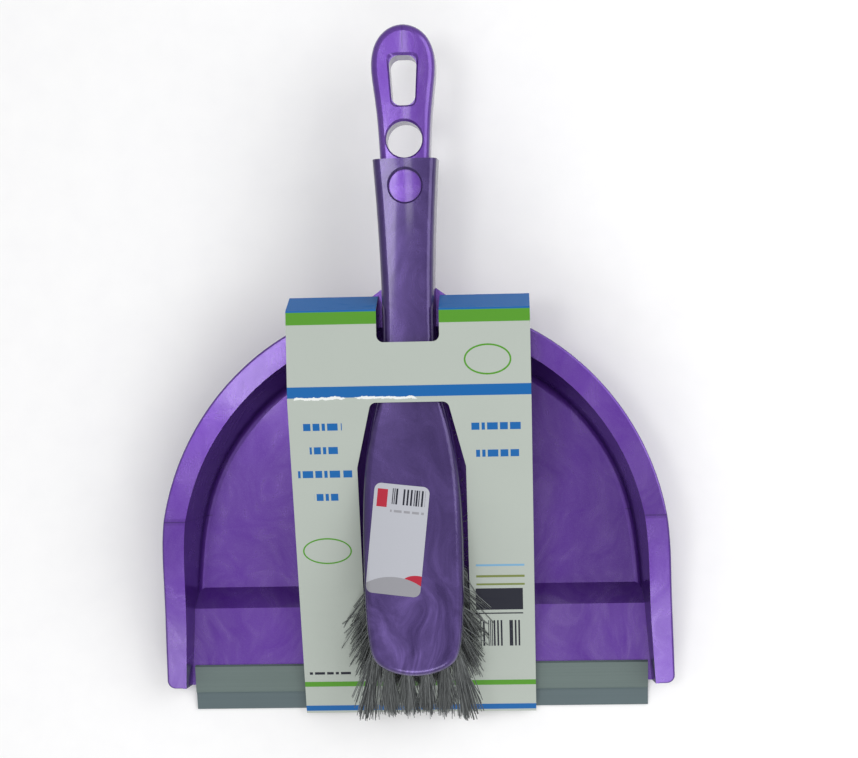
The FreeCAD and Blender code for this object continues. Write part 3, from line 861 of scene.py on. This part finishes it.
@dataclass
class Bristles:
    """The strands of every tuft, one piece to a row.

    The rows are counted from the front. The first ones are splayed over the card, so they have more
    strands.
    """

    rows: list[str] = field(default_factory=lambda: [n for n in sorted(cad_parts)
                                                     if n.startswith("tuft_row_")])
    front_rows: int = 6
    strands: int = 46
    front_strands: int = 210
    seed: int = 11

    # One strand
    strand_radius: float = 0.00024
    radius_range: Pair = (0.85, 1.15)
    root_depth: float = 0.002
    segments: int = 6
    lean_power: float = 1.25
    bow: float = 0.0006

    # One tuft
    hole_depth: float = 0.00674
    end_band: float = 0.0004
    root_radius: float = 0.0019
    clumps: int = 4
    clump_reach: float = 0.0030
    clump_twist: float = 90
    spread: Pair = (0.0027, 0.0022)
    tip_rise: Pair = (-0.0002, 0.0024)
    sideways: float = 0.42

    # The fan beside and before the block
    side_from: float = 0.014
    splay_back: float = 0.002
    splay_front: float = -0.050
    splay_share: float = 0.62
    splay_out: Pair = (0.004, 0.013)
    splay_forward: Pair = (0.014, 0.030)
    splay_rise: float = 0.004
    stray_share: float = 0.02
    stray_out: Pair = (0.002, 0.007)
    front_limit: float = -0.0955
    front_rag: float = 0.0065
    taper: float = 0.20
    taper_from: float = -0.062

    # The card that the strands meet
    card_front: Pair = (-0.0955, 0.0054)
    card_peak: Pair = (0.096, 0.0704)
    card_gap: float = 0.0006
    window_half: float = 0.0312
    window_front: float = -0.054

    @property
    def block_bottom(self) -> float:
        """Height of the block's underside."""
        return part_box("tuft_row_05")[1][2] - self.hole_depth

    def card_height(self, y: float) -> float:
        """Height just above the card's outer face.

        Args:
            y: How far back, in the frame.

        Returns:
            The height.
        """
        (y0, z0), (y1, z1) = self.card_front, self.card_peak
        return z0 + (z1 - z0) * (y - y0) / (y1 - y0) + self.card_gap

    def tufts(self, node: str) -> list[tuple[Vector, Vector]]:
        """Read each tuft's mouth and tip centres off its CAD solid.

        Args:
            node: The row's node.

        Returns:
            A mouth and a tip for every tuft in the row.
        """
        found = []
        for island in islands(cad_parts[node].data):
            low, high = min(c.z for c in island), max(c.z for c in island)
            tips = [c for c in island if c.z < low + self.end_band]
            roots = [c for c in island if c.z > high - self.end_band]
            mouth = sum(roots, Vector()) / len(roots)
            mouth.z = self.block_bottom
            found.append((mouth, sum(tips, Vector()) / len(tips)))
        return found

    def end_point(self, mouth: Vector, tip: Vector, rng: random.Random) -> Vector:
        """Where one strand ends, before it meets the card.

        Args:
            mouth: Centre of the tuft at the block.
            tip: Centre of the tuft's tips.
            rng: Source of variation.

        Returns:
            The end.
        """
        turn = 2 * math.pi * rng.randrange(self.clumps) / self.clumps + mouth.x * self.clump_twist
        clump = Vector((math.cos(turn), math.sin(turn), 0)) * self.clump_reach
        end = Vector((mouth.x + (tip.x - mouth.x) * self.sideways, tip.y, tip.z)) + clump
        end += Vector((rng.gauss(0, self.spread[0]), rng.gauss(0, self.spread[1]),
                       rng.uniform(*self.tip_rise)))
        outward = math.copysign(1, mouth.x)
        if abs(mouth.x) > self.side_from and mouth.y < self.splay_back:
            if mouth.y > self.splay_front and rng.random() < self.splay_share:
                end += Vector((outward * rng.uniform(*self.splay_out), -rng.uniform(*self.splay_forward),
                               self.splay_rise))
            if rng.random() < self.stray_share:
                end += Vector((outward * rng.uniform(*self.stray_out), 0, self.splay_rise))
        end.y = max(end.y, self.front_limit + rng.uniform(0, self.front_rag))
        forward = (self.taper_from - end.y) / (self.taper_from - self.front_limit)
        end.x *= 1 - self.taper * min(1.0, max(0.0, forward))
        return end

    def meet_card(self, points: list[Vector]) -> None:
        """Lay a strand over the card once it is above it, and keep it in the window if it is below.

        Args:
            points: The strand's centre line, which is moved in place.
        """
        over = False
        for p in points:
            limit = self.card_height(p.y)
            outside = abs(p.x) > self.window_half or p.y < self.window_front
            over = over or (outside and p.z > limit)
            if outside and over:
                p.z = max(p.z, limit + self.strand_radius)
            elif outside and p.y >= self.window_front:
                p.x = math.copysign(self.window_half - self.card_gap, p.x)

    def path(self, mouth: Vector, tip: Vector, rng: random.Random) -> list[Vector]:
        """One strand's centre line, from its hole to its end.

        Args:
            mouth: Centre of the tuft at the block.
            tip: Centre of the tuft's tips.
            rng: Source of variation.

        Returns:
            The points of the line.
        """
        angle, reach = rng.uniform(0, 2 * math.pi), math.sqrt(rng.random())
        side = Vector((math.cos(angle), math.sin(angle), 0))
        start = mouth + side * (reach * self.root_radius)
        end = self.end_point(mouth, tip, rng)
        bow = Vector((rng.gauss(0, self.bow), rng.gauss(0, self.bow), 0))
        points = []
        for i in range(self.segments + 1):
            t = i / self.segments
            lean = t ** self.lean_power
            points.append(Vector((start.x + (end.x - start.x) * lean, start.y + (end.y - start.y) * lean,
                                  start.z + (end.z - start.z) * t)) + bow * math.sin(math.pi * t))
        self.meet_card(points)
        return points

    def build_row(self, node: str, material: bpy.types.Material) -> bpy.types.Object:
        """Make one row's strands as a single piece.

        Args:
            node: The row's node.
            material: The fibre.

        Returns:
            The row's object.
        """
        rng = random.Random(f"{self.seed}-{node}")
        rods = Rods()
        tufts = self.tufts(node)
        count = self.front_strands if self.rows.index(node) < self.front_rows else self.strands
        for mouth, tip in tufts:
            for _ in range(count):
                points, tone = self.path(mouth, tip, rng), rng.random()
                points.insert(0, points[0] + Vector((0, 0, self.root_depth)))
                rods.add(points, self.strand_radius * rng.uniform(*self.radius_range), tone)
        obj = rods.make(f"bristles_{node[-2:]}", material)
        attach(obj, "brush")
        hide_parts(node)
        LOG.info("built %s with %d strands in %d tufts", obj.name, count * len(tufts), len(tufts))
        return obj

    def build(self) -> None:
        """Make every row."""
        material = BristleFibre().material()
        for node in self.rows:
            self.build_row(node, material)


@dataclass
class Brush:
    """The brush moulding, its anchors and its bristles."""

    plastic: PearlPlastic = PearlPlastic(
        Moulding.BRUSH, base=linear(58, 32, 104), deep=linear(26, 8, 58), pearl=linear(134, 108, 190),
        swirl=0.20, front_swirl=0.85, welds=(Weld((0, 0.2325), (0.0002, 0.0052)),))
    wire: AnchorWire = AnchorWire()
    bristles: Bristles = field(default_factory=Bristles)

    def build(self, groups: Groups) -> None:
        """Dress the moulding and its anchors, and grow the bristles.

        Args:
            groups: The shared node groups.
        """
        dress("brush_body", self.plastic.material(groups))
        dress("tuft_anchors", self.wire.material())
        self.bristles.build()


BLUE = linear(14, 98, 168)
GREEN = linear(84, 150, 40)
OLIVE = linear(120, 132, 70)
PALE_BLUE = linear(120, 170, 205)
WHITE = linear(236, 238, 236)
INK = linear(28, 30, 44)
SOFT_GREY = linear(150, 150, 156)
RED = linear(176, 40, 60)
PAPER = linear(180, 188, 180)


def ring(centre: Pair, half: Pair, line: float) -> tuple[Patch, Patch]:
    """A plain oval ring of green with bare paper inside.

    Args:
        centre: Its centre.
        half: Its half width and half height.
        line: How broad its line is.

    Returns:
        The green oval and the paper that leaves its middle bare.
    """
    return (Patch(centre, half, GREEN, oval=1.0),
            Patch(centre, (half[0] - line, half[1] - line), PAPER, oval=1.0))


@dataclass
class Packaging:
    """The card wrap and the stuck-on label, both with plain generic print."""

    card_centre: Pair = (0.0, 0.096)
    card_turn: float = 0.0
    card_back: Colour = linear(150, 146, 136)
    band_half: float = 0.2  # a band runs past both edges of the card
    word_half: float = 0.0021
    label_paper: Colour = linear(182, 184, 192)
    label_turn: float = math.radians(-6.5)
    label_marks: float = 0.3

    def card_patches(self) -> tuple[Patch, ...]:
        """The card's bands, rings, rules and blocks.

        Returns:
            The patches, measured from the middle of the card's fold.
        """
        bands = tuple(Patch((0, y), (self.band_half, half), ink) for y, half, ink in (
            (0.0600, 0.0086, BLUE), (0.0478, 0.0036, GREEN), (0.0054, 0.0032, BLUE)))
        torn_fold = (Patch((-0.026, 0.0018), (0.044, 0.0007), WHITE, fill=Fill.WORN),)
        lip_bands = tuple(Patch((0, y), (self.band_half, half), ink) for y, half, ink in (
            (-0.1730, 0.0016, GREEN), (-0.1886, 0.0017, BLUE)))
        rings = (ring((0.0454, 0.0228), (0.0136, 0.0089), 0.0010)
                 + ring((-0.0517, -0.0890), (0.0145, 0.0080), 0.0009))
        words = tuple(Patch(centre, (half, self.word_half), BLUE, fill=Fill.WORDS) for centre, half in (
            ((-0.0505, -0.0147), 0.0112), ((-0.0505, -0.0285), 0.0082), ((-0.0505, -0.0425), 0.0158),
            ((-0.0505, -0.0563), 0.0070), ((0.0500, -0.0157), 0.0147), ((0.0500, -0.0316), 0.0124)))
        small = (
            Patch((0.0500, -0.0991), (0.0143, 0.0006), PALE_BLUE),
            Patch((0.0500, -0.1059), (0.0143, 0.0007), OLIVE),
            Patch((0.0500, -0.1109), (0.0143, 0.0006), OLIVE),
            Patch((0.0491, -0.1201), (0.0140, 0.0067), INK),
            Patch((0.0491, -0.1290), (0.0140, 0.0004), INK),
            Patch((0.0491, -0.1415), (0.0123, 0.0081), INK, fill=Fill.BARS),
            Patch((-0.0540, -0.1660), (0.0140, 0.0008), INK, fill=Fill.WORDS),
        )
        return bands + torn_fold + lip_bands + rings + words + small

    def label_patches(self) -> tuple[Patch, ...]:
        """The label's red corner, its bars, and its grey foot with a red wedge.

        Returns:
            The patches, measured from the label's middle.
        """
        return (
            Patch((-0.0110, 0.0235), (0.0030, 0.0052), RED),
            Patch((0.0040, 0.0250), (0.0098, 0.0046), INK, fill=Fill.BARS),
            Patch((0.0040, 0.0165), (0.0098, 0.0007), SOFT_GREY, fill=Fill.WORDS),
            Patch((0.0135, -0.0235), (0.0080, 0.0040), RED, oval=1.0),
            Patch((0.0010, -0.0450), (0.0270, 0.0235), SOFT_GREY, oval=1.0),
        )

    def build(self, groups: Groups) -> None:
        """Dress both pieces.

        Args:
            groups: The shared node groups.
        """
        card = PrintedPaper("printed_card", PAPER, self.card_back, self.card_patches(), turn=self.card_turn,
                            centre=self.card_centre)
        dress("card_wrap", card.material(groups))
        low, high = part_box("price_label")
        middle = ((low[0] + high[0]) / 2, (low[1] + high[1]) / 2)
        label = PrintedPaper("label_paper", self.label_paper, self.label_paper, self.label_patches(),
                             turn=self.label_turn, centre=middle, marks=self.label_marks)
        dress("price_label", label.material(groups))


# ---------------------------------------------------------------------------------------------
# Studio
# ---------------------------------------------------------------------------------------------
@dataclass(frozen=True)
class Lamp:
    """One rectangular soft lamp: where it hangs, its width and height, and its power in watts."""

    name: str
    place: Triple
    size: Pair
    power: float

    def hang(self, aim: Triple) -> None:
        """Hang the lamp.

        Args:
            aim: The point that it faces.
        """
        data = bpy.data.lights.new(self.name, "AREA")
        data.shape = "RECTANGLE"
        data.size, data.size_y = self.size
        data.energy = self.power
        lamp = bpy.data.objects.new(self.name, data)
        lamp.location = self.place
        lamp.rotation_euler = (Vector(self.place) - Vector(aim)).to_track_quat("Z", "Y").to_euler()
        bpy.context.scene.collection.objects.link(lamp)


@dataclass
class Studio:
    """Floor, lamps, world and camera. The focal length is in the same unit as the image's width."""

    camera_place: Triple = (0.05942, 0.12323, 1.100)
    pitch: float = 0.0148
    yaw: float = -0.0463
    roll: float = 0.0200
    focal_length: float = 1802.7
    image_width: float = 858.0
    sensor_width_mm: float = 36.0
    nearest_seen: float = 0.01
    ambient: float = 0.60
    floor_size: float = 6
    floor_place: Triple = (0, 0.1, -0.0004)
    floor_dark: Colour = linear(246, 246, 247)
    floor_light: Colour = linear(252, 252, 252)
    floor_grain: float = 60
    floor_roughness: float = 0.8
    lamp_aim: Triple = (0, 0.08, 0.02)
    lamps: tuple[Lamp, ...] = (
        Lamp("sheen", (-0.36, 0.24, 1.35), (0.30, 0.32), 2.3),
        Lamp("handle_strip", (-0.06, 0.46, 1.35), (0.08, 0.46), 0.6),
        Lamp("front", (0.10, -1.30, 1.05), (1.3, 0.6), 7.5),
        Lamp("fill", (1.00, 0.50, 1.0), (1.3, 1.0), 8),
    )

    def build_camera(self) -> None:
        """Stand the camera over the pan, looking down."""
        data = bpy.data.cameras.new("camera")
        data.sensor_width = self.sensor_width_mm
        data.lens = self.focal_length * self.sensor_width_mm / self.image_width
        data.clip_start = self.nearest_seen
        camera = bpy.data.objects.new("camera", data)
        bpy.context.scene.collection.objects.link(camera)
        world_to_camera = (Matrix.Rotation(self.roll, 3, "Z") @ Matrix.Rotation(self.pitch, 3, "X")
                           @ Matrix.Rotation(self.yaw, 3, "Y"))
        camera.matrix_world = Matrix.Translation(self.camera_place) @ world_to_camera.transposed().to_4x4()
        bpy.context.scene.camera = camera

    def build_floor(self) -> None:
        """A pale floor that shows white to the camera and keeps the object's shadow."""
        deselect()
        bpy.ops.mesh.primitive_plane_add(size=self.floor_size, location=self.floor_place)
        floor = bpy.context.active_object
        floor.name = "floor"
        finish = new_finish("floor_paper")
        grain = finish.tree.noise(finish.place, self.floor_grain)
        finish.surface(finish.tree.mix(grain, self.floor_dark, self.floor_light), self.floor_roughness)
        floor.data.materials.append(finish.material)

    def build_world(self) -> None:
        """A white surround for the camera and a soft grey fill for the rest."""
        world = bpy.data.worlds.new("studio")
        bpy.context.scene.world = world
        world.use_nodes = True
        tree = Tree(world.node_tree)
        rays = tree.add("ShaderNodeLightPath")
        seen = tree.math("MAXIMUM", rays.outputs["Is Camera Ray"], rays.outputs["Is Transmission Ray"])
        tree.fill(world.node_tree.nodes["Background"], Color=(1.0, 1.0, 1.0),
                  Strength=tree.plus(self.ambient, tree.times(seen, 1.0 - self.ambient)))

    def build(self) -> None:
        """Build the whole studio."""
        bpy.context.scene.view_settings.view_transform = "Standard"
        self.build_camera()
        self.build_floor()
        for lamp in self.lamps:
            lamp.hang(self.lamp_aim)
        self.build_world()


def main() -> None:
    """Build the studio and every sub-assembly."""
    logging.basicConfig(level=logging.INFO)
    groups = Groups()
    Studio().build()
    Pan().build(groups)
    Brush().build(groups)
    Packaging().build(groups)


if __name__ == "__main__":
    main()
